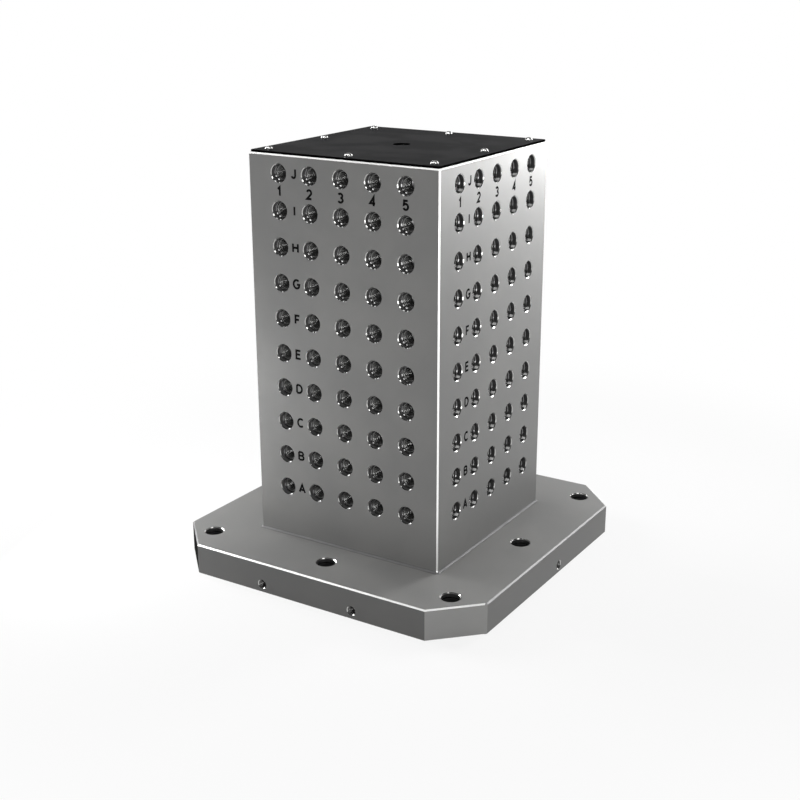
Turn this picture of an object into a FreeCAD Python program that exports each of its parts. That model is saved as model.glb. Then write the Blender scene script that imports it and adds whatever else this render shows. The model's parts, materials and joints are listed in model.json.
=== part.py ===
import FreeCAD, Part
import math
import os

import Sketcher

# A tombstone for a horizontal machining centre, in millimetres: a hollow column on a square base
# plate, cast in one piece and machined, with a plate screwed on its top.
# The frame: origin at the middle of the base's underside, +Z up, the front face looks along -Y.

SIZES = {
    # Base plate
    "base_side": 500,
    "base_height": 45,
    "base_corner_cut": 60,
    "base_top_chamfer": 2,
    "base_bottom_chamfer": 1,
    # Column and its cavity
    "column_side": 300,
    "column_height": 550,
    "column_chamfer": 2,
    "column_foot_radius": 4,
    "wall": 40,
    "cavity_corner_radius": 20,
    # Grid of holes on the four faces: a locating bore with a thread behind it
    "grid_pitch": 50,
    "grid_foot_margin": 75,
    "grid_top_margin": 25,
    "grid_side_margin": 50,
    "locating_diameter": 24,
    "locating_depth": 6.5,
    "locating_chamfer": 1,
    "grid_thread_diameter": 20,
    "grid_thread_chamfer": 1,
    "grid_hole_backing": 3,
    "drill_point_angle": 118,
    # Counterbored holes for the bolts that hold the base to a pallet
    "base_bolt_diameter": 17.5,
    "counterbore_diameter": 26,
    "counterbore_depth": 17,
    "counterbore_chamfer": 1.5,
    # Tapped holes in two sides of the base plate, for edge stops
    "edge_thread_diameter": 12,
    "edge_thread_depth": 25,
    "edge_thread_chamfer": 1.1,
    "edge_hole_height": 12.5,
    "front_edge_hole_spacing": 150,
    "right_edge_hole_offset": 25,
    # Locating bore in the underside
    "centre_bore_diameter": 50,
    "centre_bore_chamfer": 2,
    # Ribs and lifting thread in the top of the cavity
    "rib_thickness": 25,
    "rib_height": 50,
    "boss_diameter": 70,
    "lifting_thread_diameter": 20,
    "lifting_thread_chamfer": 2,
    # Cover plate
    "cover_thickness": 3,
    "cover_setback": 2,
    "cover_corner_chamfer": 2,
    "cover_edge_chamfer": 0.4,
    "lifting_access": 2,
    # Button-head screws that hold the cover, and their holes
    "screw_diameter": 6,
    "screw_length": 12,
    "screw_point_chamfer": 0.6,
    "screw_head_diameter": 10.5,
    "screw_head_height": 3.3,
    "screw_head_rim": 0.8,
    "screw_head_flat": 5.8,
    "screw_dome_radius": 5,
    "screw_socket_width": 4,
    "screw_socket_depth": 2,
    "screw_hole_chamfer": 0.5,
    "screw_thread_clearance": 0.05,
    "screw_tip_clearance": 3,
    "cover_screw_clearance": 0.3,
}

# Sizes and places that follow from those above
COLUMN_TOP = "(Sizes.base_height + Sizes.column_height)"
COVER_TOP = "(Sizes.base_height + Sizes.column_height + Sizes.cover_thickness)"
CAVITY_HALF = "(Sizes.column_side / 2 - Sizes.wall)"
COVER_HALF = "(Sizes.column_side / 2 - Sizes.cover_setback)"
WALL_MIDDLE = "((Sizes.column_side - Sizes.wall) / 2)"
LEDGE_MIDDLE = "((Sizes.base_side + Sizes.column_side) / 4)"
GRID_FIELD_WIDTH = "(Sizes.column_side - 2 * Sizes.grid_side_margin)"
GRID_FIELD_HEIGHT = "(Sizes.column_height - Sizes.grid_foot_margin - Sizes.grid_top_margin)"
SCREW_HOLE_DEPTH = "(Sizes.screw_length - Sizes.cover_thickness + Sizes.screw_tip_clearance)"

# Origin plane of a hole's sketch, and how far it is turned so that the hole runs that way
INTO_FRONT = ("XY_Plane", 0)
INTO_RIGHT = ("XY_Plane", 90)
DOWNWARD = ("XZ_Plane", 180)
UPWARD = ("XZ_Plane", 0)

SIDES = 4
SAME_PLACE = 0.001
SAME_VOLUME = 0.01
EXACT_FIT_SHARE = 0.001


def make_sheet(doc):
    sheet = doc.addObject("Spreadsheet::Sheet", "Sizes")
    for row, (name, value) in enumerate(SIZES.items(), start=1):
        sheet.set(f"A{row}", name)
        sheet.set(f"B{row}", str(value))
        sheet.setAlias(f"B{row}", name)
    doc.recompute()


def new_body(doc, label):
    body = doc.addObject("PartDesign::Body", label)
    body.Label = label
    return body


def origin_feature(body, role):
    return next(item for item in body.Origin.OriginFeatures if item.Role == role)


def value_of(item, expression):
    return float(item.evalExpression(expression))


def add_sketch(body, name, place, plane="XY_Plane", turn=0):
    """A sketch on a plane of the body's origin, with its own origin at place."""
    sketch = body.newObject("Sketcher::SketchObject", name)
    sketch.AttachmentSupport = [(origin_feature(body, plane), "")]
    sketch.MapMode = "FlatFace"
    spin = FreeCAD.Rotation(FreeCAD.Vector(0, 0, 1), turn)
    sketch.AttachmentOffset = FreeCAD.Placement(FreeCAD.Vector(), spin)
    x, y, z = place
    along_plane = (x, y, z) if plane == "XY_Plane" else (x, z, f"-({y})")
    for axis, expression in zip("xyz", along_plane):
        sketch.setExpression(f"AttachmentOffset.Base.{axis}", expression)
    return sketch


def bind(sketch, constraint, name, expression):
    index = sketch.addConstraint(constraint)
    sketch.renameConstraint(index, name)
    sketch.setExpression(f"Constraints.{name}", expression)


def pin(sketch, geometry, point, name, place):
    """Ties a point of the sketch to its distances from the sketch's origin."""
    for way, expression in zip("XY", place):
        size = value_of(sketch, expression)
        constraint = Sketcher.Constraint(f"Distance{way}", -1, 1, geometry, point, size)
        bind(sketch, constraint, f"{name}_{way.lower()}", expression)


def outward_arc(start, end, radius):
    """An arc from start to end that bulges out of an outline drawn anticlockwise."""
    chord = end - start
    inward = FreeCAD.Vector(-chord.y, chord.x, 0).normalize()
    middle = (start + end) / 2 + inward * math.sqrt(radius ** 2 - chord.Length ** 2 / 4)
    angles = [math.atan2(point.y - middle.y, point.x - middle.x) for point in (start, end)]
    return Part.ArcOfCircle(Part.Circle(middle, FreeCAD.Vector(0, 0, 1), radius), *angles)


def draw_outline(sketch, corners, arcs=None):
    """A closed outline with each corner tied to the sheet.

    Its sides are straight, apart from those that arcs gives a radius, by the side's number.
    """
    arcs = arcs or {}
    places = [FreeCAD.Vector(value_of(sketch, x), value_of(sketch, y), 0) for x, y in corners]
    ends = places[1:] + places[:1]
    for side, (start, end) in enumerate(zip(places, ends)):
        if side in arcs:
            shape = outward_arc(start, end, value_of(sketch, arcs[side]))
        else:
            shape = Part.LineSegment(start, end)
        sketch.addGeometry(shape, False)
    for side, corner in enumerate(corners):
        following = (side + 1) % len(corners)
        sketch.addConstraint(Sketcher.Constraint("Coincident", side, 2, following, 1))
        pin(sketch, side, 1, f"corner_{side + 1}", corner)
    for side, radius in arcs.items():
        constraint = Sketcher.Constraint("Radius", side, value_of(sketch, radius))
        bind(sketch, constraint, f"side_{side + 1}_radius", radius)


def draw_circle(sketch, place, diameter):
    middle = FreeCAD.Vector(value_of(sketch, place[0]), value_of(sketch, place[1]), 0)
    radius = value_of(sketch, diameter) / 2
    circle = sketch.addGeometry(Part.Circle(middle, FreeCAD.Vector(0, 0, 1), radius), False)
    pin(sketch, circle, 3, "middle", place)
    constraint = Sketcher.Constraint("Diameter", circle, 2 * radius)
    bind(sketch, constraint, "diameter", diameter)


def steps_in(length, step):
    """How many whole steps a length holds, where one that fits exactly isn't lost to rounding."""
    return f"floor({length} / {step} + {EXACT_FIT_SHARE})"


def square(half):
    return [(f"-{half}", f"-{half}"), (half, f"-{half}"), (half, half), (f"-{half}", half)]


def cut_square(half, cut):
    """The corners of a square with its four corners cut off at 45 degrees."""
    near = f"({half} - {cut})"
    return [
        (f"-{near}", f"-{half}"), (near, f"-{half}"),
        (half, f"-{near}"), (half, near),
        (near, half), (f"-{near}", half),
        (f"-{half}", near), (f"-{half}", f"-{near}"),
    ]


def hexagon(width):
    """The corners of a hexagon, width across its flats."""
    corner = f"{width} / sqrt(3)"
    turns = range(0, 360, 60)
    return [(f"{corner} * cos({turn} deg)", f"{corner} * sin({turn} deg)") for turn in turns]


def pad(body, name, sketch, length, down=False):
    feature = body.newObject("PartDesign::Pad", name)
    feature.Profile = sketch
    feature.setExpression("Length", length)
    feature.Reversed = down
    return feature


def pocket(body, name, sketch, length):
    feature = body.newObject("PartDesign::Pocket", name)
    feature.Profile = sketch
    feature.setExpression("Length", length)
    return feature


def turned_hole(body, name, place, direction, corners):
    """A round hole: its profile, as radius and depth, turned about the hole's axis."""
    plane, turn = direction
    sketch = add_sketch(body, f"{name}_profile", place, plane, turn)
    draw_outline(sketch, corners)
    feature = body.newObject("PartDesign::Groove", name)
    feature.Profile = sketch
    feature.ReferenceAxis = (sketch, ["V_Axis"])
    feature.Angle = 360
    return feature


def row_along(body, name, axis, length, steps):
    pattern = body.newObject("PartDesign::LinearPattern", name)
    pattern.Direction = (origin_feature(body, axis), [""])
    pattern.setExpression("Length", length)
    pattern.setExpression("Occurrences", f"{steps} + 1")
    return pattern


def around_sides(body, name):
    pattern = body.newObject("PartDesign::PolarPattern", name)
    pattern.Axis = (origin_feature(body, "Z_Axis"), [""])
    pattern.Angle = 360
    pattern.Occurrences = SIDES
    return pattern


def repeat(body, name, originals, rows):
    """Copies features along rows on the first side, and then onto all four sides.

    Each row is an axis, a length and its number of steps.
    """
    feature = body.newObject("PartDesign::MultiTransform", name)
    patterns = [
        row_along(body, f"{name}_{axis.lower()}", axis, length, steps)
        for axis, length, steps in rows
    ]
    patterns.append(around_sides(body, f"{name}_sides"))
    feature.Originals = originals
    feature.Transformations = patterns
    body.Tip = feature


def repeat_at_corners_and_middles(body, name, originals, distance):
    """Eight copies: from a corner at minus distance in X and Y, to every corner and side middle."""
    repeat(body, name, originals, [("X_Axis", distance, "1")])


def finish_edges(body, kind, name, size_name, size, base, chosen):
    """Chamfers or rounds the edges of base for which chosen is true."""
    body.Document.recompute()
    names = [f"Edge{n}" for n, edge in enumerate(base.Shape.Edges, start=1) if chosen(edge)]
    feature = body.newObject(f"PartDesign::{kind}", name)
    feature.Base = (base, names)
    feature.setExpression(size_name, size)
    return feature


def chamfer(body, name, size, base, chosen):
    return finish_edges(body, "Chamfer", name, "Size", size, base, chosen)


def fillet(body, name, radius, base, chosen):
    return finish_edges(body, "Fillet", name, "Radius", radius, base, chosen)


def level(edge, height):
    box = edge.BoundBox
    return abs(box.ZMin - height) < SAME_PLACE and abs(box.ZMax - height) < SAME_PLACE


def upright(edge):
    box = edge.BoundBox
    return box.XLength < SAME_PLACE and box.YLength < SAME_PLACE


def reach(edge):
    """How far from the object's axis the edge gets, along X or Y."""
    box = edge.BoundBox
    return max(-box.XMin, box.XMax, -box.YMin, box.YMax)


def drill_tip(diameter):
    return f"{diameter} / 2 / tan(Sizes.drill_point_angle / 2 * 1 deg)"


def add_base(body):
    sketch = add_sketch(body, "base_outline", ("0", "0", "0"))
    draw_outline(sketch, cut_square("Sizes.base_side / 2", "Sizes.base_corner_cut"))
    base = pad(body, "base_plate", sketch, "Sizes.base_height")
    body.Document.recompute()
    height = value_of(body, "Sizes.base_height")
    top = chamfer(body, "base_top_edges", "Sizes.base_top_chamfer", base,
                  lambda edge: level(edge, height))
    chamfer(body, "base_bottom_edges", "Sizes.base_bottom_chamfer", top,
            lambda edge: level(edge, 0))


def add_column(body):
    sketch = add_sketch(body, "column_outline", ("0", "0", "Sizes.base_height"))
    draw_outline(sketch, square("Sizes.column_side / 2"))
    column = pad(body, "column", sketch, "Sizes.column_height")
    foot = value_of(body, "Sizes.base_height")
    top = value_of(body, COLUMN_TOP)
    half = value_of(body, "Sizes.column_side / 2")
    edges = chamfer(body, "column_edges", "Sizes.column_chamfer", column,
                    lambda edge: level(edge, top) or (upright(edge) and edge.BoundBox.ZMax > foot))
    fillet(body, "column_foot", "Sizes.column_foot_radius", edges,
           lambda edge: level(edge, foot) and reach(edge) < half + SAME_PLACE)


def add_cavity(body):
    sketch = add_sketch(body, "cavity_outline", ("0", "0", COLUMN_TOP))
    draw_outline(sketch, square(CAVITY_HALF))
    cavity = pocket(body, "cavity", sketch, "Sizes.column_height")
    half = value_of(body, CAVITY_HALF)
    fillet(body, "cavity_corners", "Sizes.cavity_corner_radius", cavity,
           lambda edge: upright(edge) and reach(edge) < half + SAME_PLACE)


def add_ribs(body):
    """Two ribs from corner to corner under the cover, with a boss where they cross."""
    half = "Sizes.rib_thickness / 2"
    end = f"({WALL_MIDDLE} * sqrt(2))"
    sketch = add_sketch(body, "rib_outline", ("0", "0", COLUMN_TOP), turn=45)
    draw_outline(sketch, [
        (end, f"-{half}"), (end, half), (half, half),
        (half, end), (f"-{half}", end), (f"-{half}", half),
        (f"-{end}", half), (f"-{end}", f"-{half}"), (f"-{half}", f"-{half}"),
        (f"-{half}", f"-{end}"), (half, f"-{end}"), (half, f"-{half}"),
    ])
    pad(body, "ribs", sketch, "Sizes.rib_height", down=True)
    sketch = add_sketch(body, "boss_outline", ("0", "0", COLUMN_TOP))
    draw_circle(sketch, ("0", "0"), "Sizes.boss_diameter")
    pad(body, "boss", sketch, "Sizes.rib_height", down=True)


def add_lifting_thread(body):
    radius = "Sizes.lifting_thread_diameter / 2"
    mouth = f"{radius} + Sizes.lifting_thread_chamfer"
    turned_hole(body, "lifting_thread", ("0", "0", COLUMN_TOP), DOWNWARD, [
        ("0", "0"), (mouth, "0"), (radius, "Sizes.lifting_thread_chamfer"),
        (radius, "Sizes.rib_height - Sizes.lifting_thread_chamfer"),
        (mouth, "Sizes.rib_height"), ("0", "Sizes.rib_height"),
    ])


def add_centre_bore(body):
    radius = "Sizes.centre_bore_diameter / 2"
    turned_hole(body, "centre_bore", ("0", "0", "0"), UPWARD, [
        ("0", "0"), (f"{radius} + Sizes.centre_bore_chamfer", "0"),
        (radius, "Sizes.centre_bore_chamfer"),
        (radius, "Sizes.base_height"), ("0", "Sizes.base_height"),
    ])


def add_base_bolt_holes(body):
    bolt = "Sizes.base_bolt_diameter / 2"
    head = "Sizes.counterbore_diameter / 2"
    place = (f"-{LEDGE_MIDDLE}", f"-{LEDGE_MIDDLE}", "Sizes.base_height")
    hole = turned_hole(body, "base_bolt_hole", place, DOWNWARD, [
        ("0", "0"), (f"{head} + Sizes.counterbore_chamfer", "0"),
        (head, "Sizes.counterbore_chamfer"), (head, "Sizes.counterbore_depth"),
        (bolt, "Sizes.counterbore_depth"), (bolt, "Sizes.base_height"),
        ("0", "Sizes.base_height"),
    ])
    repeat_at_corners_and_middles(body, "base_bolt_holes", [hole], LEDGE_MIDDLE)


def edge_hole(body, name, place, direction):
    radius = "Sizes.edge_thread_diameter / 2"
    tip = drill_tip("Sizes.edge_thread_diameter")
    return turned_hole(body, name, place, direction, [
        ("0", "0"), (f"{radius} + Sizes.edge_thread_chamfer", "0"),
        (radius, "Sizes.edge_thread_chamfer"), (radius, "Sizes.edge_thread_depth"),
        ("0", f"Sizes.edge_thread_depth + {tip}"),
    ])


def add_edge_holes(body):
    """Two tapped holes in the base plate's front side and one in its right side."""
    place = ("-Sizes.front_edge_hole_spacing / 2", "-Sizes.base_side / 2", "Sizes.edge_hole_height")
    hole = edge_hole(body, "front_edge_hole", place, INTO_FRONT)
    pair = row_along(body, "front_edge_holes", "X_Axis", "Sizes.front_edge_hole_spacing", "1")
    pair.Originals = [hole]
    body.Tip = pair
    place = ("Sizes.base_side / 2", "Sizes.right_edge_hole_offset", "Sizes.edge_hole_height")
    edge_hole(body, "right_edge_hole", place, INTO_RIGHT)


def add_cover_screw_holes(body):
    radius = "Sizes.screw_diameter / 2"
    tip = drill_tip("Sizes.screw_diameter")
    place = (f"-{WALL_MIDDLE}", f"-{WALL_MIDDLE}", COLUMN_TOP)
    hole = turned_hole(body, "cover_screw_hole", place, DOWNWARD, [
        ("0", "0"), (f"{radius} + Sizes.screw_hole_chamfer", "0"),
        (radius, "Sizes.screw_hole_chamfer"), (radius, SCREW_HOLE_DEPTH),
        ("0", f"{SCREW_HOLE_DEPTH} + {tip}"),
    ])
    repeat_at_corners_and_middles(body, "cover_screw_holes", [hole], WALL_MIDDLE)


def add_grid(body):
    """The grid on the four faces: locating bore, countersunk step, thread and drill tip."""
    across = steps_in(GRID_FIELD_WIDTH, "Sizes.grid_pitch")
    up = steps_in(GRID_FIELD_HEIGHT, "Sizes.grid_pitch")
    bore = "Sizes.locating_diameter / 2"
    thread = "Sizes.grid_thread_diameter / 2"
    tip = drill_tip("Sizes.grid_thread_diameter")
    place = (f"-{across} * Sizes.grid_pitch / 2", "-Sizes.column_side / 2",
             "Sizes.base_height + Sizes.grid_foot_margin")
    hole = turned_hole(body, "grid_hole", place, INTO_FRONT, [
        ("0", "0"), (f"{bore} + Sizes.locating_chamfer", "0"),
        (bore, "Sizes.locating_chamfer"), (bore, "Sizes.locating_depth"),
        (f"{thread} + Sizes.grid_thread_chamfer", "Sizes.locating_depth"),
        (thread, "Sizes.locating_depth + Sizes.grid_thread_chamfer"),
        (thread, f"Sizes.wall - Sizes.grid_hole_backing - {tip}"),
        ("0", "Sizes.wall - Sizes.grid_hole_backing"),
    ])
    repeat(body, "grid", [hole], [
        ("X_Axis", f"{across} * Sizes.grid_pitch", across),
        ("Z_Axis", f"{up} * Sizes.grid_pitch", up),
    ])


def make_tombstone_body(doc):
    body = new_body(doc, "tombstone_body")
    add_base(body)
    add_column(body)
    add_cavity(body)
    add_ribs(body)
    add_lifting_thread(body)
    add_centre_bore(body)
    add_base_bolt_holes(body)
    add_edge_holes(body)
    add_cover_screw_holes(body)
    add_grid(body)
    return body


def make_top_cover(doc):
    body = new_body(doc, "top_cover")
    sketch = add_sketch(body, "cover_outline", ("0", "0", COLUMN_TOP))
    draw_outline(sketch, cut_square(COVER_HALF, "Sizes.cover_corner_chamfer"))
    plate = pad(body, "cover_plate", sketch, "Sizes.cover_thickness")
    body.Document.recompute()
    top = value_of(body, COVER_TOP)
    chamfer(body, "cover_top_edges", "Sizes.cover_edge_chamfer", plate,
            lambda edge: level(edge, top))
    sketch = add_sketch(body, "lifting_hole_circle", ("0", "0", COVER_TOP))
    draw_circle(sketch, ("0", "0"), "Sizes.lifting_thread_diameter + 2 * Sizes.lifting_access")
    pocket(body, "lifting_hole", sketch, "Sizes.cover_thickness")
    sketch = add_sketch(body, "screw_clearance_circle", ("0", "0", COVER_TOP))
    draw_circle(sketch, (f"-{WALL_MIDDLE}", f"-{WALL_MIDDLE}"),
                "Sizes.screw_diameter + 2 * Sizes.cover_screw_clearance")
    hole = pocket(body, "screw_clearance_hole", sketch, "Sizes.cover_thickness")
    repeat_at_corners_and_middles(body, "screw_clearance_holes", [hole], WALL_MIDDLE)
    return body


def draw_screw(sketch):
    """Half of a button-head screw's section, with the head's seat at the sketch's origin."""
    shank = "(Sizes.screw_diameter / 2 - Sizes.screw_thread_clearance)"
    corners = [
        ("0", "Sizes.screw_head_height"), ("0", "-Sizes.screw_length"),
        (f"{shank} - Sizes.screw_point_chamfer", "-Sizes.screw_length"),
        (shank, "-Sizes.screw_length + Sizes.screw_point_chamfer"),
        (shank, "0"), ("Sizes.screw_head_diameter / 2", "0"),
        ("Sizes.screw_head_diameter / 2", "Sizes.screw_head_rim"),
        ("Sizes.screw_head_flat / 2", "Sizes.screw_head_height"),
    ]
    dome = corners.index(("Sizes.screw_head_diameter / 2", "Sizes.screw_head_rim"))
    draw_outline(sketch, corners, arcs={dome: "Sizes.screw_dome_radius"})


def make_cover_screws(doc):
    body = new_body(doc, "cover_screws")
    body.AllowCompound = True
    place = (f"-{WALL_MIDDLE}", f"-{WALL_MIDDLE}", COVER_TOP)
    plane, turn = UPWARD
    sketch = add_sketch(body, "screw_profile", place, plane, turn)
    draw_screw(sketch)
    screw = body.newObject("PartDesign::Revolution", "screw")
    screw.Profile = sketch
    screw.ReferenceAxis = (sketch, ["V_Axis"])
    screw.Angle = 360
    head_top = f"{COVER_TOP} + Sizes.screw_head_height"
    sketch = add_sketch(body, "socket_outline", (place[0], place[1], head_top))
    draw_outline(sketch, hexagon("Sizes.screw_socket_width"))
    socket = pocket(body, "socket", sketch, "Sizes.screw_socket_depth")
    repeat_at_corners_and_middles(body, "screws", [screw, socket], WALL_MIDDLE)
    return body


def check_document(doc):
    """Stops if any object failed, or a feature changes nothing."""
    for item in doc.Objects:
        if "Invalid" in item.State or "Error" in item.State:
            raise RuntimeError(f"{item.Name} failed: {item.State}")
        before = getattr(item, "BaseFeature", None)
        if before and not item.Shape.isNull():
            if abs(item.Shape.Volume - before.Shape.Volume) < SAME_VOLUME:
                raise RuntimeError(f"{item.Name} changes nothing")


def write_parts(bodies):
    for body in bodies:
        shape = body.Shape
        if shape.isNull() or not shape.isValid():
            raise RuntimeError(f"{body.Label} has no valid shape")
    os.makedirs("parts", exist_ok=True)
    for body in bodies:
        body.Shape.exportStep(f"parts/{body.Label}.step")
        print(body.Label, len(body.Shape.Solids), round(body.Shape.Volume))


def main():
    doc = FreeCAD.newDocument("tombstone")
    make_sheet(doc)
    bodies = [make_tombstone_body(doc), make_top_cover(doc), make_cover_screws(doc)]
    doc.recompute()
    check_document(doc)
    write_parts(bodies)


main()
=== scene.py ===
import json
import math
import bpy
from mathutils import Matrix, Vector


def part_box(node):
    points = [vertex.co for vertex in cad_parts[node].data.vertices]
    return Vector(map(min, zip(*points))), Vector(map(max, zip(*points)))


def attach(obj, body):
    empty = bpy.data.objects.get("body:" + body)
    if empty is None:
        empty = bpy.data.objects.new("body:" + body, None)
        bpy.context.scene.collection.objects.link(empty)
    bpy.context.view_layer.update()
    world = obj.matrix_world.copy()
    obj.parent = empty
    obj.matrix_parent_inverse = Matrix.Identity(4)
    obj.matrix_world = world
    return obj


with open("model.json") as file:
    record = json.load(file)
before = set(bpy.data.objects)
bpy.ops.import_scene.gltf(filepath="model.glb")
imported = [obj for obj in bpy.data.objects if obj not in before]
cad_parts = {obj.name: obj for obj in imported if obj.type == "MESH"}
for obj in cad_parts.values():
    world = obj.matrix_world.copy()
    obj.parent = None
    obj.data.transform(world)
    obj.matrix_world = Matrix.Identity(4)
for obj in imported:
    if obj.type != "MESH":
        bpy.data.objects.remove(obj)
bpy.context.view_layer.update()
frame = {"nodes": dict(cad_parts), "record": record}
from types import SimpleNamespace

import bpy
from mathutils import Matrix, Vector

# Sizes in metres. Places come from the frame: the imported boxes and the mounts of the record.

MM = 0.001
FACES = ("front", "right", "back", "left")
ROW_LETTERS = "ABCDEFGHIJ"
COLUMN_NUMBERS = "12345"

THREAD_ANGLE = math.radians(60)
GRID_THREAD_PITCH = 2.5 * MM
EDGE_THREAD_PITCH = 1.75 * MM
LIFTING_THREAD_PITCH = 2.5 * MM
THREAD_STEPS = 20
THREAD_SINK = 0.05 * MM
THREAD_HEIGHT_SHARE = 5 / 8
THREAD_FOOT_SHARE = 7 / 8
THREAD_CREST_SHARE = 1 / 4
THREAD_END_RISE = 0.02
GRID_THREAD_START = 7.2 * MM
GRID_THREAD_END = 29.5 * MM
EDGE_THREAD_START = 1.0 * MM
EDGE_THREAD_END = 24.0 * MM
LIFTING_THREAD_START = 1.8 * MM
LIFTING_THREAD_END = 49.0 * MM

MARK_HEIGHT = 14.5 * MM
MARK_STROKE = 3.0 * MM
MARK_RISE = 0.06 * MM
MARK_STEP = 0.005 * MM
ARC_STEP = 12
MITER_LIMIT = 0.3
NUMBER_ROW_DROP = 24.3 * MM
LETTER_LIFT = 1.4 * MM

# The camera stands where the photograph's did: fitted to the grid holes of the two visible faces.
CAMERA_PLACE = Vector((0.9735, -1.5537, 0.8449))
CAMERA_AZIMUTH = math.radians(32.167)
CAMERA_ELEVATION = math.radians(18.664)
CAMERA_ROLL = math.radians(-0.150)
CAMERA_LENS = 59.275
CAMERA_SENSOR = 36.0
CAMERA_CLIP = (0.01, 100.0)

# The studio: soft boxes round the object by azimuth, elevation, size and power, and smaller near
# lamps by place, target, size and power. Then the world's light and the floor.
COLUMN_MIDDLE = Vector((0, 0, 0.3))
STUDIO_RADIUS = 2.2
SOFT_BOXES = {
    "left_side_box": (270, 20, (0.8, 0.8), 48.0),
    "front_right_panel": (58, 6, (0.4, 0.9), 7.0),
    "front_panel": (25, 2, (0.25, 0.35), 4.0),
    "upper_right_box": (38, 40, (0.5, 0.5), 4.0),
    "upper_left_box": (290, 47, (0.45, 0.3), 3.6),
    "top_front_box": (345, 70, (0.6, 0.6), 9.5),
    "top_right_box": (72, 60, (0.7, 0.7), 4.0),
    "right_back_box": (140, 38, (1.0, 0.6), 2.5),
    "back_right_box": (150, 1, (1.1, 0.6), 9.0),
    "upper_back_box": (172, 28, (0.8, 0.5), 4.0),
    "back_box": (185, 12, (1.1, 1.1), 4.0),
    "back_left_box": (240, 8, (1.1, 1.1), 2.0),
}
NEAR_LAMPS = {
    "upper_right_glow": ((0.50, 0.70, 0.60), (0.15, 0.15, 0.55), (0.3, 0.3), 1.6),
    "right_edge_glow": ((0.36, 0.52, 0.66), (0.15, 0.12, 0.56), (0.2, 0.2), 2.8),
    "back_edge_glow": ((0.40, 0.70, 0.62), (0.15, 0.12, 0.56), (0.25, 0.25), 2.0),
    "left_lamp": ((-0.80, -0.27, 0.50), (-0.10, -0.15, 0.25), (0.35, 0.35), 2.2),
    "left_foot_lamp": ((-0.50, -0.28, 0.12), (-0.12, -0.15, 0.12), (0.2, 0.12), 1.9),
}
WORLD_LIGHT = 0.03
WORLD_SEEN = 0.12
HORIZON_LOW = 0.10
HORIZON_HIGH = 0.30
FLOOR_REACH = 30.0
FLOOR_COLOR = (0.6, 0.6, 0.6, 1.0)
FLOOR_NEAR = 0.45
FLOOR_FAR = 1.1
FLOOR_WHITE_SHARE = 0.85
FLOOR_ROUGHNESS = 0.9


def mount(name):
    """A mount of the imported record, by its name."""
    return next(m for m in frame["record"]["mounts"] if m["name"] == name)


BODY = frame["nodes"]["tombstone_body"]
COVER = frame["nodes"]["top_cover"]
SCREWS = frame["nodes"]["cover_screws"]
BODY_LOW, BODY_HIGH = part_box("tombstone_body")
COLUMN_HALF = mount("right_working_face")["pos_m"][0]
GRID = mount("front_threads_columns_1_5_rows_A_J")
GRID_WIDTH = GRID["dims"]["spacing_x_mm"] * MM
GRID_HEIGHT = GRID["dims"]["spacing_y_mm"] * MM
GRID_MIDDLE = GRID["pos_m"][2]
GRID_RADIUS = GRID["dims"]["hole_r_mm"] * MM
PITCH_ACROSS = GRID_WIDTH / (len(COLUMN_NUMBERS) - 1)
PITCH_UP = GRID_HEIGHT / (len(ROW_LETTERS) - 1)
# The base plate's top, and what x and y add up to on its corner facets
BASE_TOP = 45 * MM
CORNER_REACH = 440 * MM


def face_frame(face):
    """A face's directions: along its columns, up, and out of the face."""
    out = Vector(mount(f"{face}_working_face")["axis"])
    up = Vector((0, 0, 1))
    return up.cross(out), up, out


def face_point(face, across, height, depth=0.0):
    """A point of a face, from its middle line, its height and its depth under the surface."""
    along, up, out = face_frame(face)
    return along * across + up * height + out * (COLUMN_HALF - depth)


def column_places():
    """How far each column of holes stands from the face's middle line."""
    return [-GRID_WIDTH / 2 + PITCH_ACROSS * i for i in range(len(COLUMN_NUMBERS))]


def row_heights():
    """The height of each row of holes."""
    return [GRID_MIDDLE - GRID_HEIGHT / 2 + PITCH_UP * i for i in range(len(ROW_LETTERS))]


# Materials

# Limits for noise that turns into spots, and for a face that counts as lying
SPOTS_LOW = 0.3
SPOTS_HIGH = 0.7
LYING_LIMIT = 0.9


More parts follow.
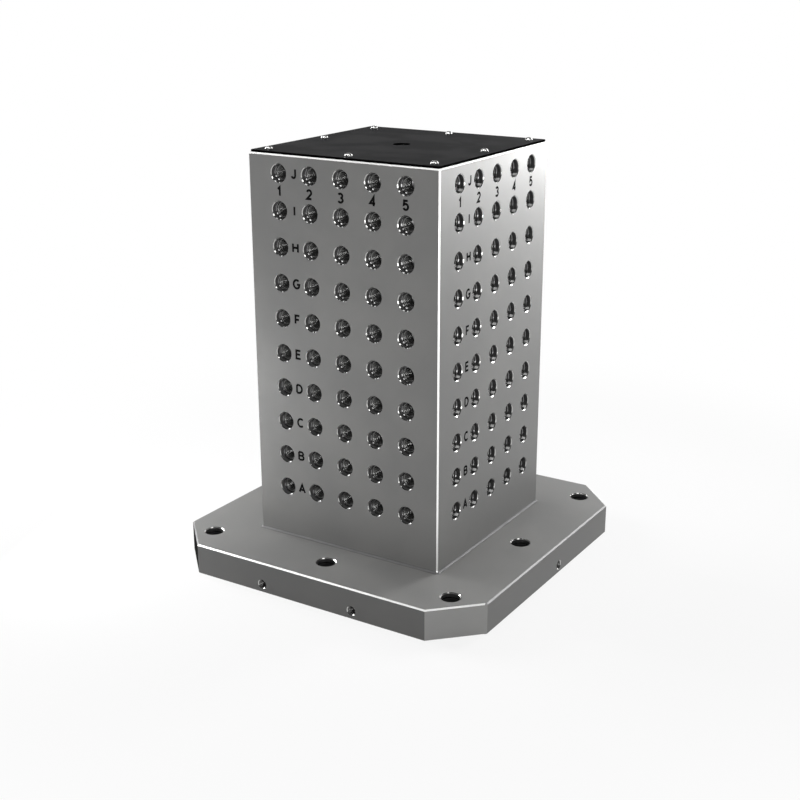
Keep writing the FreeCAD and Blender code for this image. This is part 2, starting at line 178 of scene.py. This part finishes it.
class Nodes:
    """A short way to write the node tree of a material or of the world."""

    def __init__(self, owner):
        owner.use_nodes = True
        self.owner = owner
        self.tree = owner.node_tree

    def add(self, kind, settings=None, **inputs):
        node = self.tree.nodes.new(kind)
        for name, value in (settings or {}).items():
            setattr(node, name, value)
        for name, value in inputs.items():
            self.feed(value, node.inputs[name.replace("_", " ")])
        return node

    def feed(self, value, socket):
        if isinstance(value, bpy.types.NodeSocket):
            self.tree.links.new(value, socket)
        else:
            socket.default_value = value

    def feed_all(self, values, sockets):
        for value, socket in zip(values, sockets):
            self.feed(value, socket)

    def math(self, operation, *values):
        node = self.add("ShaderNodeMath", {"operation": operation})
        self.feed_all(values, node.inputs)
        return node.outputs[0]

    def plus(self, first, second):
        return self.math("ADD", first, second)

    def minus(self, first, second):
        return self.math("SUBTRACT", first, second)

    def size(self, value):
        """A number without its sign."""
        return self.math("ABSOLUTE", value)

    def least(self, first, second):
        return self.math("MINIMUM", first, second)

    def most(self, first, second):
        return self.math("MAXIMUM", first, second)

    def above(self, value, limit):
        """A mask: 1 where the value is over the limit, and else 0."""
        return self.math("GREATER_THAN", value, limit)

    def below(self, value, limit):
        return self.math("LESS_THAN", value, limit)

    def without(self, mask):
        return self.minus(1.0, mask)

    def both(self, first, *others):
        """Masks or numbers, multiplied."""
        for other in others:
            first = self.math("MULTIPLY", first, other)
        return first

    def place(self):
        """The point's place on the object, in metres."""
        return self.add("ShaderNodeTexCoord").outputs["Object"]

    def parts(self, vector):
        return self.add("ShaderNodeSeparateXYZ", Vector=vector).outputs

    def lying(self):
        """A mask: 1 on faces that look up or down."""
        normal = self.add("ShaderNodeNewGeometry").outputs["True Normal"]
        return self.above(self.size(self.parts(normal)["Z"]), LYING_LIMIT)

    def scaled(self, vector, scale):
        node = self.add("ShaderNodeMapping", {"vector_type": "POINT"}, Vector=vector, Scale=scale)
        return node.outputs[0]

    def noise(self, vector, scale, detail=2.0, roughness=0.5):
        node = self.add("ShaderNodeTexNoise", Vector=vector, Scale=scale, Detail=detail,
                        Roughness=roughness)
        return node.outputs["Fac"]

    def spots(self, vector, scale, detail=2.0):
        """Soft spots, from 0 to 1."""
        return self.remap(self.noise(vector, scale, detail), SPOTS_LOW, SPOTS_HIGH)

    def remap(self, value, low, high, to_low=0.0, to_high=1.0):
        node = self.add("ShaderNodeMapRange", {"interpolation_type": "SMOOTHSTEP"})
        self.feed_all((value, low, high, to_low, to_high), node.inputs)
        return node.outputs[0]

    def between(self, share, first, second):
        """One number turning into another."""
        return self.remap(share, 0.0, 1.0, first, second)

    def blend(self, share, first, second):
        """One colour turning into another."""
        node = self.add("ShaderNodeMix", {"data_type": "RGBA"})
        inputs = {socket.identifier: socket for socket in node.inputs}
        self.feed_all((share, first, second),
                      (inputs["Factor_Float"], inputs["A_Color"], inputs["B_Color"]))
        return next(socket for socket in node.outputs if socket.identifier == "Result_Color")

    def times(self, first, second):
        """One colour times another."""
        node = self.add("ShaderNodeVectorMath", {"operation": "MULTIPLY"})
        self.feed_all((first, second), node.inputs)
        return node.outputs[0]

    def bump(self, height, distance, strength):
        return self.add("ShaderNodeBump", Height=height, Distance=distance, Strength=strength).outputs[0]

    def finish(self, **inputs):
        shader = self.tree.nodes["Principled BSDF"]
        for name, value in inputs.items():
            self.feed(value, shader.inputs[name.replace("_", " ")])
        return self.owner


def new_material(name):
    return Nodes(bpy.data.materials.new(name))


# Colours of the casting's surfaces. The cut edges are bright metal raised to a painted highlight. Along
# the base plate's right side they are grey, a dimmer painted highlight, and along its left side nearly
# black, as painted shade, and so are the column's two upright edges at the left.
WHOLE = (1.0, 1.0, 1.0, 1.0)
IRON_FACE = (0.190, 0.190, 0.187, 1.0)
IRON_FACE_WORN = (0.212, 0.211, 0.206, 1.0)
# The fillet at the column's foot: painted shade in the crease
IRON_FILLET_SHADE = (0.12, 0.12, 0.12, 1.0)
# Edges: a painted highlight, grey as a dimmer painted highlight, and nearly black as painted shade
IRON_EDGE_HIGHLIGHT = (0.93, 0.93, 0.92, 1.0)
IRON_EDGE_DIM_HIGHLIGHT = (0.30, 0.30, 0.30, 1.0)
IRON_EDGE_SHADE = (0.05, 0.05, 0.05, 1.0)
IRON_HOLE = (0.13, 0.13, 0.13, 1.0)
# The bores of the front and back faces are lighter than those of the right and left faces: painted light
IRON_LIT_BORE = (0.26, 0.26, 0.26, 1.0)
IRON_RIM = (0.45, 0.45, 0.44, 1.0)
# The low part of the rims in the front and back faces: painted shade
IRON_RIM_SHADE = (0.10, 0.10, 0.10, 1.0)
IRON_STEP = (0.14, 0.14, 0.14, 1.0)
# A painted reflection along the lower wall of the holes in the right and left faces
IRON_PAINTED_REFLECTION = (0.95, 0.95, 0.94, 1.0)
# How much darker or lighter the base plate's sides and corner facets are than the other faces: painted
# shade on the sides and on the facets at the left, painted light on the facets at the right. The front
# and back sides share a tone, and so do the right and left ones. The facets at the left are painted
# nearly black, and have no gloss.
FRONT_SIDE_SHADE = 0.64
RIGHT_SIDE_SHADE = 0.77
FACET_LIGHT = 1.50
FACET_SHADE = 0.04
# Roughness, metal and gloss of the casting, and its fine lines
FACE_ROUGHNESS = (0.42, 0.48)
HOLE_ROUGHNESS = (0.32, 0.32, 0.32, 1.0)
RIM_ROUGHNESS = (0.12, 0.12, 0.12, 1.0)
IRON_METALLIC = 0.22
HOLE_METALLIC = 0.7
FACE_GLOSS = 0.3
WORN_SCALE = 9.0
WORN_DETAIL = 3.0
WORN_ROUGHNESS = 0.55
WORN_LOW = 0.35
WORN_HIGH = 0.7
LINE_DETAIL = 3.0
UPRIGHT_LINES = (1500, 1500, 25)
FLAT_LINES = (25, 1500, 1500)
LINE_DEPTH = 0.01 * MM
LINE_STRENGTH = 0.15
# How deep a surface may lie and still count as an outer face, and where edges, rims and steps lie
FACE_SKIN = 0.06 * MM
EDGE_REACH = 3.0 * MM
RIM_DEPTH = 1.1 * MM
STEP_DEPTH = 7.0 * MM
STEP_REACH = 0.58 * MM
# The holes' walls: radii, the low part of the rim that is darkened as painted shade, and the place of
# the painted reflection in shares of the radius
BORE_RADIUS = 12.0 * MM
THREAD_MIDDLE_RADIUS = 9.3 * MM
SHADED_RIM_DROP = 9.0 * MM
REFLECTION_DROP = 0.76
REFLECTION_HALF = 0.11
# The other materials: colours, roughness and gloss
THREAD_COLORS = (0.20, 0.20, 0.197, 1.0), (0.25, 0.25, 0.246, 1.0)
THREAD_ROUGHNESS = (0.12, 0.18)
THREAD_SPOTS = 300.0
COVER_COLORS = (0.007, 0.007, 0.008, 1.0), (0.010, 0.010, 0.011, 1.0)
# The cover plate's edges: painted shade
COVER_SIDE_SHADE = (0.002, 0.002, 0.002, 1.0)
COVER_ROUGHNESS = (0.46, 0.54)
COVER_GLOSS = 0.05
COVER_SPOTS = 14.0
COVER_SPOT_DETAIL = 3.0
COVER_GRAIN = 900.0
COVER_GRAIN_DEPTH = 0.02 * MM
COVER_GRAIN_STRENGTH = 0.2
SCREW_COLORS = (0.66, 0.66, 0.65, 1.0), (0.74, 0.74, 0.73, 1.0)
SCREW_ROUGHNESS = (0.18, 0.26)
SCREW_SPOTS = 500.0
MARK_COLORS = (0.004, 0.004, 0.004, 1.0), (0.008, 0.008, 0.008, 1.0)
MARK_ROUGHNESS = (0.80, 0.90)
MARK_GLOSS = 0.03
MARK_SPOTS = 400.0


def middle_of_three(n, a, b, c):
    return n.most(n.least(a, b), n.least(n.most(a, b), c))


def depths_in_iron(n, place):
    """How far a point of the casting lies from its nearest and next flat outer faces, and whether it
    lies on one of the base's sides or corner facets."""
    x, y, z = n.parts(place)
    x, y = n.size(x), n.size(y)
    in_x, in_y, in_z = n.minus(COLUMN_HALF, x), n.minus(COLUMN_HALF, y), n.minus(BODY_HIGH[2], z)
    side = n.minus(BODY_HIGH[0], n.most(x, y))
    corner = n.both(n.minus(CORNER_REACH, n.plus(x, y)), math.sqrt(0.5))
    from_side = n.least(side, corner)
    from_flat = n.least(n.minus(BASE_TOP, z), z)
    on_column = n.above(z, BASE_TOP)
    on_base = n.without(on_column)
    nearest = n.plus(n.both(on_column, n.least(n.least(in_x, in_y), in_z)),
                     n.both(on_base, n.least(from_side, from_flat)))
    following = n.plus(n.both(on_column, middle_of_three(n, in_x, in_y, in_z)),
                       n.both(on_base, n.most(from_side, from_flat)))
    on_side = n.both(on_base, n.below(from_side, FACE_SKIN))
    return nearest, following, on_side, n.both(on_side, n.below(corner, side))


def height_from_row(n, z):
    """How far a point lies above the nearest row of holes."""
    lowest = GRID_MIDDLE - GRID_HEIGHT / 2
    return n.math("WRAP", n.minus(z, lowest), PITCH_UP / 2, -PITCH_UP / 2)


def painted_reflection_in_hole(n, place, radius):
    """Where a painted reflection, a light streak, runs along the lower wall of the holes in the right
    and left faces.
    """
    x, y, z = n.parts(place)
    off_reflection = n.size(n.plus(height_from_row(n, z), REFLECTION_DROP * radius))
    from_column = n.math("WRAP", y, PITCH_ACROSS / 2, -PITCH_ACROSS / 2)
    return n.both(n.below(off_reflection, REFLECTION_HALF * radius), n.above(n.size(x), n.size(y)),
                  n.above(from_column, 0.0))


def iron_surfaces(n, place):
    """Masks for the kinds of surface that the casting has, and for where light and shade are painted on
    it.
    """
    x, y, z = n.parts(place)
    nearest, following, on_side, on_facet = depths_in_iron(n, place)
    left = n.below(x, 0.0)
    on_column = n.above(z, BASE_TOP)
    faces_x = n.above(n.size(x), n.size(y))
    cut = n.above(nearest, FACE_SKIN)
    edge = n.both(cut, n.below(following, EDGE_REACH))
    hole = n.minus(cut, edge)
    rim = n.below(nearest, RIM_DEPTH)
    in_front_or_back = n.both(on_column, n.without(faces_x))
    up_the_column = n.least(n.minus(z, BASE_TOP), n.minus(BODY_HIGH[2] - EDGE_REACH, z))
    upright_left = n.both(n.above(up_the_column, 0.0), left)
    return SimpleNamespace(
        left=left,
        faces_x=faces_x,
        side=on_side,
        facet=on_facet,
        fillet=n.below(nearest, -FACE_SKIN),
        edge=edge,
        # Where the edges get a dimmer painted highlight, and where they get painted shade
        dim_highlight_edge=n.above(x, BODY_HIGH[0] - EDGE_REACH),
        shaded_edge=n.most(upright_left, n.below(x, BODY_HIGH[0] - CORNER_REACH)),
        hole=hole,
        painted_lit_bore=in_front_or_back,
        rim=rim,
        # Where the low part of the rims is darkened as painted shade
        shaded_low_rim=n.both(in_front_or_back, n.below(height_from_row(n, z), -SHADED_RIM_DROP)),
        step=n.below(n.size(n.minus(nearest, STEP_DEPTH)), STEP_REACH),
        # Where the painted reflection lies
        painted_reflection=n.both(hole, on_column, painted_reflection_in_hole(n, place, BORE_RADIUS), n.without(rim)),
    )


def iron_color(n, on, clouds):
    """The casting's colour, from the masks of its surfaces and the clouds of wear, with painted light
    and shade on its edges, sides, facets, fillet, bores and low rims, and a painted reflection in the
    side faces' holes.
    """
    # Painted shade on the base plate's sides, painted light on its right facets and painted shade on its
    # left ones
    side_shade = n.between(on.faces_x, FRONT_SIDE_SHADE, RIGHT_SIDE_SHADE)
    facet_light_and_shade = n.between(on.left, FACET_LIGHT, FACET_SHADE)
    tone = n.blend(on.facet, n.blend(on.side, WHOLE, side_shade), facet_light_and_shade)
    face = n.blend(n.remap(clouds, WORN_LOW, WORN_HIGH), IRON_FACE, IRON_FACE_WORN)
    # The fillet at the column's foot is darker than the faces: painted shade in the crease
    face = n.blend(on.fillet, n.times(face, tone), IRON_FILLET_SHADE)
    # Edge colour: a painted highlight, dimmer at the right and painted shade at the left
    edge = n.blend(on.shaded_edge, n.blend(on.dim_highlight_edge, IRON_EDGE_HIGHLIGHT, IRON_EDGE_DIM_HIGHLIGHT), IRON_EDGE_SHADE)
    # Bores: lighter in the front and back faces as painted light, and a painted reflection along the
    # lower wall in the right and left faces
    bore = n.blend(on.painted_reflection, n.blend(on.painted_lit_bore, IRON_HOLE, IRON_LIT_BORE), IRON_PAINTED_REFLECTION)
    # The low part of the rims in the front and back faces is darkened as painted shade
    rim = n.blend(on.shaded_low_rim, IRON_RIM, IRON_RIM_SHADE)
    inside = n.blend(on.rim, n.blend(on.step, bore, IRON_STEP), rim)
    return n.blend(on.hole, n.blend(on.edge, face, edge), inside)


def iron_material():
    """Ground grey iron: satin faces with fine lines, bright cut edges as a painted highlight, bright
    rims, and darker holes, with painted light and shade on the base plate's sides and facets, the
    fillet, the bores and the low rims, and a painted reflection in the side faces' holes.
    """
    n = new_material("ground_iron")
    place = n.place()
    on = iron_surfaces(n, place)
    clouds = n.noise(place, WORN_SCALE, WORN_DETAIL, WORN_ROUGHNESS)
    upright, flat = (n.noise(n.scaled(place, scale), 1.0, LINE_DETAIL)
                     for scale in (UPRIGHT_LINES, FLAT_LINES))
    lines = n.blend(n.lying(), upright, flat)
    polished = n.most(on.rim, on.step)
    rough = n.blend(on.hole, n.remap(clouds, SPOTS_LOW, SPOTS_HIGH, *FACE_ROUGHNESS),
                    n.blend(polished, HOLE_ROUGHNESS, RIM_ROUGHNESS))
    hole_metal = n.between(polished, HOLE_METALLIC - IRON_METALLIC, 1.0 - IRON_METALLIC)
    metal = n.plus(n.between(on.edge, IRON_METALLIC, 1.0), n.both(on.hole, hole_metal))
    # No metal and no gloss on the painted reflection, nor on the facets at the left, which are painted
    # shade
    glossy = n.without(n.most(on.painted_reflection, n.both(on.facet, on.left)))
    return n.finish(Base_Color=iron_color(n, on, clouds), Metallic=n.both(metal, glossy),
                    Roughness=rough, Specular_IOR_Level=n.both(FACE_GLOSS, glossy),
                    Normal=n.bump(lines, LINE_DEPTH, LINE_STRENGTH))


def thread_material():
    """Cut thread turns, smoother than the bore around them, with a painted reflection along the lower
    wall of the holes in the right and left faces.
    """
    n = new_material("cut_thread")
    place = n.place()
    tone = n.spots(place, THREAD_SPOTS)
    painted_reflection = painted_reflection_in_hole(n, place, THREAD_MIDDLE_RADIUS)
    return n.finish(Base_Color=n.blend(painted_reflection, n.blend(tone, *THREAD_COLORS), IRON_PAINTED_REFLECTION),
                    Metallic=n.without(painted_reflection), Roughness=n.between(tone, *THREAD_ROUGHNESS))


def cover_material():
    """Black satin paint with a fine grain, darker on the plate's edges as painted shade, and without
    gloss there.
    """
    n = new_material("black_satin")
    place = n.place()
    tone = n.spots(place, COVER_SPOTS, COVER_SPOT_DETAIL)
    grain = n.noise(place, COVER_GRAIN)
    lying = n.lying()
    return n.finish(Base_Color=n.blend(lying, COVER_SIDE_SHADE, n.blend(tone, *COVER_COLORS)), Metallic=0.0,
                    Roughness=n.between(tone, *COVER_ROUGHNESS),
                    Specular_IOR_Level=n.between(lying, 0.0, COVER_GLOSS),
                    Normal=n.bump(grain, COVER_GRAIN_DEPTH, COVER_GRAIN_STRENGTH))


def screw_material():
    """Bright turned steel."""
    n = new_material("bright_steel")
    tone = n.spots(n.place(), SCREW_SPOTS)
    return n.finish(Base_Color=n.blend(tone, *SCREW_COLORS), Metallic=1.0,
                    Roughness=n.between(tone, *SCREW_ROUGHNESS))


def mark_material():
    """Black filling of the engraved marks."""
    n = new_material("black_filling")
    tone = n.spots(n.place(), MARK_SPOTS)
    return n.finish(Base_Color=n.blend(tone, *MARK_COLORS), Metallic=0.0,
                    Roughness=n.between(tone, *MARK_ROUGHNESS), Specular_IOR_Level=MARK_GLOSS)


def dress(node, material):
    """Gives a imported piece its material."""
    for slot in node.material_slots:
        slot.link = "OBJECT"
        slot.material = material


# Threads

def add_thread(points, faces, place, into, radius, pitch, start, end):
    """A thread's ridge inside a plain hole: a helix with the profile of a metric internal thread."""
    height = pitch * math.sin(THREAD_ANGLE) * THREAD_HEIGHT_SHARE
    foot = pitch * THREAD_FOOT_SHARE
    crest = pitch * THREAD_CREST_SHARE
    side = into.orthogonal().normalized()
    other = into.cross(side)
    turns = (end - start - foot) / pitch
    steps = round(turns * THREAD_STEPS)
    fade = THREAD_STEPS / 2
    first = len(points)
    for i in range(steps + 1):
        angle = 2 * math.pi * i / THREAD_STEPS
        out = side * math.cos(angle) + other * math.sin(angle)
        middle = place + into * (start + foot / 2 + pitch * i / THREAD_STEPS)
        rise = max(THREAD_END_RISE, min(1.0, i / fade, (steps - i) / fade))
        wall = out * (radius + THREAD_SINK)
        top = out * (radius - height * rise)
        points += [middle + wall - into * foot / 2, middle + top - into * crest / 2,
                   middle + top + into * crest / 2, middle + wall + into * foot / 2]
    for i in range(steps):
        low, high = first + 4 * i, first + 4 * i + 4
        faces += [(low + k, low + (k + 1) % 4, high + (k + 1) % 4, high + k) for k in range(4)]
    last = first + 4 * steps
    faces += [(first + 3, first + 2, first + 1, first), (last, last + 1, last + 2, last + 3)]


def make_piece(name, points, faces, material, smooth=False):
    """A piece of the object from its points and faces."""
    mesh = bpy.data.meshes.new(name)
    mesh.from_pydata([tuple(p) for p in points], [], faces)
    mesh.materials.append(material)
    mesh.polygons.foreach_set("use_smooth", [smooth] * len(mesh.polygons))
    mesh.update()
    piece = bpy.data.objects.new(name, mesh)
    bpy.context.scene.collection.objects.link(piece)
    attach(piece, "root")
    return piece


def make_grid_threads(face, material):
    points, faces = [], []
    into = -face_frame(face)[2]
    for across in column_places():
        for height in row_heights():
            add_thread(points, faces, face_point(face, across, height), into, GRID_RADIUS,
                       GRID_THREAD_PITCH, GRID_THREAD_START, GRID_THREAD_END)
    return make_piece(f"{face}_grid_threads", points, faces, material, smooth=True)


def make_edge_threads(material):
    points, faces = [], []
    pair, single = mount("front_edge_threads"), mount("right_edge_thread")
    reach = pair["dims"]["spacing_x_mm"] * MM / 2
    places = [Vector((x, BODY_LOW[1], pair["pos_m"][2])) for x in (-reach, reach)]
    for place in places:
        add_thread(points, faces, place, Vector((0, 1, 0)), pair["dims"]["hole_r_mm"] * MM,
                   EDGE_THREAD_PITCH, EDGE_THREAD_START, EDGE_THREAD_END)
    place = Vector((BODY_HIGH[0], single["pos_m"][1], single["pos_m"][2]))
    add_thread(points, faces, place, Vector((-1, 0, 0)), single["dims"]["r_mm"] * MM,
               EDGE_THREAD_PITCH, EDGE_THREAD_START, EDGE_THREAD_END)
    return make_piece("edge_threads", points, faces, material, smooth=True)


def make_lifting_thread(material):
    points, faces = [], []
    thread = mount("lifting_thread")
    place = Vector((0, 0, BODY_HIGH[2]))
    add_thread(points, faces, place, Vector((0, 0, -1)), thread["dims"]["r_mm"] * MM,
               LIFTING_THREAD_PITCH, LIFTING_THREAD_START, LIFTING_THREAD_END)
    return make_piece("lifting_thread", points, faces, material, smooth=True)


# Marks

def arc(x, y, wide, tall, start, end):
    """Points along part of an ellipse, from one angle in degrees to another."""
    steps = max(2, round(abs(end - start) / ARC_STEP))
    angles = [math.radians(start + (end - start) * i / steps) for i in range(steps + 1)]
    return [(x + wide * math.cos(a), y + tall * math.sin(a)) for a in angles]


def glyph(mark):
    """A mark's strokes, each a line of points, in a box one unit tall that starts at its foot."""
    stem = [(0, 0), (0, 1)]
    return {
        "A": [[(0, 0), (0.42, 1), (0.84, 0)], [(0.14, 0.32), (0.70, 0.32)]],
        "B": [stem, [(0, 1)] + arc(0.36, 0.765, 0.27, 0.235, 90, -90) + [(0, 0.53)],
              [(0, 0.53)] + arc(0.38, 0.265, 0.31, 0.265, 90, -90) + [(0, 0)]],
        "C": [arc(0.43, 0.5, 0.43, 0.5, 46, 314)],
        "D": [stem, [(0, 1)] + arc(0.28, 0.5, 0.46, 0.5, 90, -90) + [(0, 0)]],
        "E": [[(0.62, 1), (0, 1), (0, 0), (0.64, 0)], [(0, 0.52), (0.56, 0.52)]],
        "F": [[(0.60, 1), (0, 1), (0, 0)], [(0, 0.50), (0.52, 0.50)]],
        "G": [arc(0.44, 0.5, 0.44, 0.5, 46, 322) + [(0.84, 0.46), (0.48, 0.46)]],
        "H": [stem, [(0.70, 0), (0.70, 1)], [(0, 0.52), (0.70, 0.52)]],
        "I": [stem],
        "J": [[(0.50, 1), (0.50, 0.27)] + arc(0.25, 0.26, 0.25, 0.26, 0, -165)],
        "1": [[(0, 0.76), (0.27, 1), (0.27, 0)]],
        "2": [arc(0.30, 0.71, 0.30, 0.29, 165, -32) + [(0, 0), (0.62, 0)]],
        "3": [arc(0.29, 0.76, 0.27, 0.24, 155, -90), arc(0.29, 0.26, 0.31, 0.26, 90, -155)],
        "4": [[(0.48, 0), (0.48, 1), (0, 0.31), (0.68, 0.31)]],
        "5": [[(0.56, 1), (0.10, 1), (0.05, 0.55)] + arc(0.29, 0.32, 0.31, 0.32, 128, -155)],
    }[mark]


def add_stroke(points, faces, line, half, to_face, rise):
    """A flat bar along a line, from just under the face to just above it."""
    first = len(points)
    path = [Vector(p) for p in line]
    ways = [(b - a).normalized() for a, b in zip(path, path[1:])]
    for i, p in enumerate(path):
        before, after = ways[max(0, i - 1)], ways[min(i, len(ways) - 1)]
        across = Vector((-before.y - after.y, before.x + after.x)).normalized()
        reach = half / max(MITER_LIMIT, across.dot(Vector((-before.y, before.x))))
        for side in (-1, 1):
            spot = p + across * reach * side
            points += [to_face(spot, MARK_RISE), to_face(spot, -rise)]
    for i in range(len(path) - 1):
        a, b = first + 4 * i, first + 4 * i + 4
        faces += [(a + 1, b + 1, b + 3, a + 3), (a, a + 2, b + 2, b),
                  (a, b, b + 1, a + 1), (a + 2, a + 3, b + 3, b + 2)]
    last = first + 4 * (len(path) - 1)
    faces += [(first, first + 1, first + 3, first + 2), (last, last + 2, last + 3, last + 1)]


def make_marks(face, material):
    """Letters beside the rows and numbers under the top holes of one face."""
    columns, rows = column_places(), row_heights()
    beside = columns[0] + PITCH_ACROSS / 2
    words = [(letter, beside, z + LETTER_LIFT) for letter, z in zip(ROW_LETTERS, rows)]
    words += [(number, x, rows[-1] - NUMBER_ROW_DROP) for number, x in zip(COLUMN_NUMBERS, columns)]
    points, faces = [], []
    size = MARK_HEIGHT - MARK_STROKE
    for mark, across, height in words:
        strokes = glyph(mark)
        wide = max(x for line in strokes for x, _ in line)
        for number, line in enumerate(strokes):
            scaled = [((x - wide / 2) * size, (y - 0.5) * size) for x, y in line]
            add_stroke(points, faces, scaled, MARK_STROKE / 2,
                       lambda p, depth: face_point(face, across + p.x, height + p.y, depth),
                       MARK_RISE + MARK_STEP * number)
    return make_piece(f"{face}_marks", points, faces, material)


# Studio

def add_camera():
    """The photograph's camera."""
    a, e, r = CAMERA_AZIMUTH, CAMERA_ELEVATION, CAMERA_ROLL
    back = Vector((math.sin(a) * math.cos(e), -math.cos(a) * math.cos(e), math.sin(e)))
    level = Vector((math.cos(a), math.sin(a), 0))
    upright = back.cross(level)
    right = level * math.cos(r) + upright * math.sin(r)
    up = back.cross(right)
    data = bpy.data.cameras.new("camera")
    data.lens = CAMERA_LENS
    data.sensor_width = CAMERA_SENSOR
    data.clip_start, data.clip_end = CAMERA_CLIP
    camera = bpy.data.objects.new("camera", data)
    turn = Matrix((right, up, back)).transposed()
    camera.matrix_world = Matrix.Translation(CAMERA_PLACE) @ turn.to_4x4()
    bpy.context.scene.collection.objects.link(camera)
    bpy.context.scene.camera = camera


def seen_directly(n):
    """1 for what the camera sees, directly, in gloss or through glass, and 0 for light on surfaces."""
    path = n.add("ShaderNodeLightPath").outputs
    return n.most(n.most(path["Is Camera Ray"], path["Is Glossy Ray"]), path["Is Transmission Ray"])


def add_floor():
    """A pale floor that keeps the object's shadow and turns into a white background further out."""
    n = new_material("pale_floor")
    distance = n.add("ShaderNodeVectorMath", {"operation": "LENGTH"}, Vector=n.place()).outputs["Value"]
    far = n.both(n.remap(distance, FLOOR_NEAR, FLOOR_FAR, FLOOR_WHITE_SHARE, 1.0), seen_directly(n))
    white = n.add("ShaderNodeEmission", Color=WHOLE, Strength=1.0).outputs[0]
    material = n.finish(Base_Color=FLOOR_COLOR, Roughness=FLOOR_ROUGHNESS)
    mixed = n.add("ShaderNodeMixShader", Fac=far)
    n.feed(n.tree.nodes["Principled BSDF"].outputs[0], mixed.inputs[1])
    n.feed(white, mixed.inputs[2])
    n.feed(mixed.outputs[0], n.tree.nodes["Material Output"].inputs["Surface"])
    mesh = bpy.data.meshes.new("floor")
    r = FLOOR_REACH
    mesh.from_pydata([(-r, -r, 0), (r, -r, 0), (r, r, 0), (-r, r, 0)], [], [(0, 1, 2, 3)])
    mesh.materials.append(material)
    floor = bpy.data.objects.new("floor", mesh)
    bpy.context.scene.collection.objects.link(floor)


def add_lamp(name, place, target, size, power):
    """A soft lamp that shines on a point."""
    data = bpy.data.lights.new(name, "AREA")
    data.shape = "RECTANGLE"
    data.size, data.size_y = size
    data.energy = power
    lamp = bpy.data.objects.new(name, data)
    away = (Vector(place) - Vector(target)).normalized()
    turn = away.to_track_quat("Z", "Y").to_matrix().to_4x4()
    lamp.matrix_world = Matrix.Translation(place) @ turn
    lamp.visible_camera = False
    bpy.context.scene.collection.objects.link(lamp)


def around(azimuth, elevation, distance=STUDIO_RADIUS):
    """A place round the column's middle, by its angle from the front towards the right and upwards."""
    a, e = math.radians(azimuth), math.radians(elevation)
    way = Vector((math.sin(a) * math.cos(e), -math.cos(a) * math.cos(e), math.sin(e)))
    return COLUMN_MIDDLE + way * distance


def add_lamps():
    for name, (azimuth, elevation, size, power) in SOFT_BOXES.items():
        add_lamp(name, around(azimuth, elevation), COLUMN_MIDDLE, size, power)
    for name, (place, target, size, power) in NEAR_LAMPS.items():
        add_lamp(name, place, target, size, power)


def add_world():
    """A faint even light, seen as grey from above and as white towards the horizon."""
    world = bpy.data.worlds.new("studio")
    n = Nodes(world)
    height = n.parts(n.add("ShaderNodeTexCoord").outputs["Generated"])["Z"]
    shown = n.remap(height, HORIZON_LOW, HORIZON_HIGH, 1.0 - WORLD_LIGHT, WORLD_SEEN - WORLD_LIGHT)
    background = world.node_tree.nodes["Background"]
    n.feed(WHOLE, background.inputs["Color"])
    n.feed(n.plus(WORLD_LIGHT, n.both(seen_directly(n), shown)), background.inputs["Strength"])
    bpy.context.scene.world = world


iron = iron_material()
dress(BODY, iron)
dress(COVER, cover_material())
dress(SCREWS, screw_material())
cut = thread_material()
filling = mark_material()
for face in FACES:
    make_grid_threads(face, cut)
    make_marks(face, filling)
make_edge_threads(cut)
make_lifting_thread(cut)
add_camera()
add_floor()
add_lamps()
add_world()
bpy.context.scene.view_settings.view_transform = "Standard"
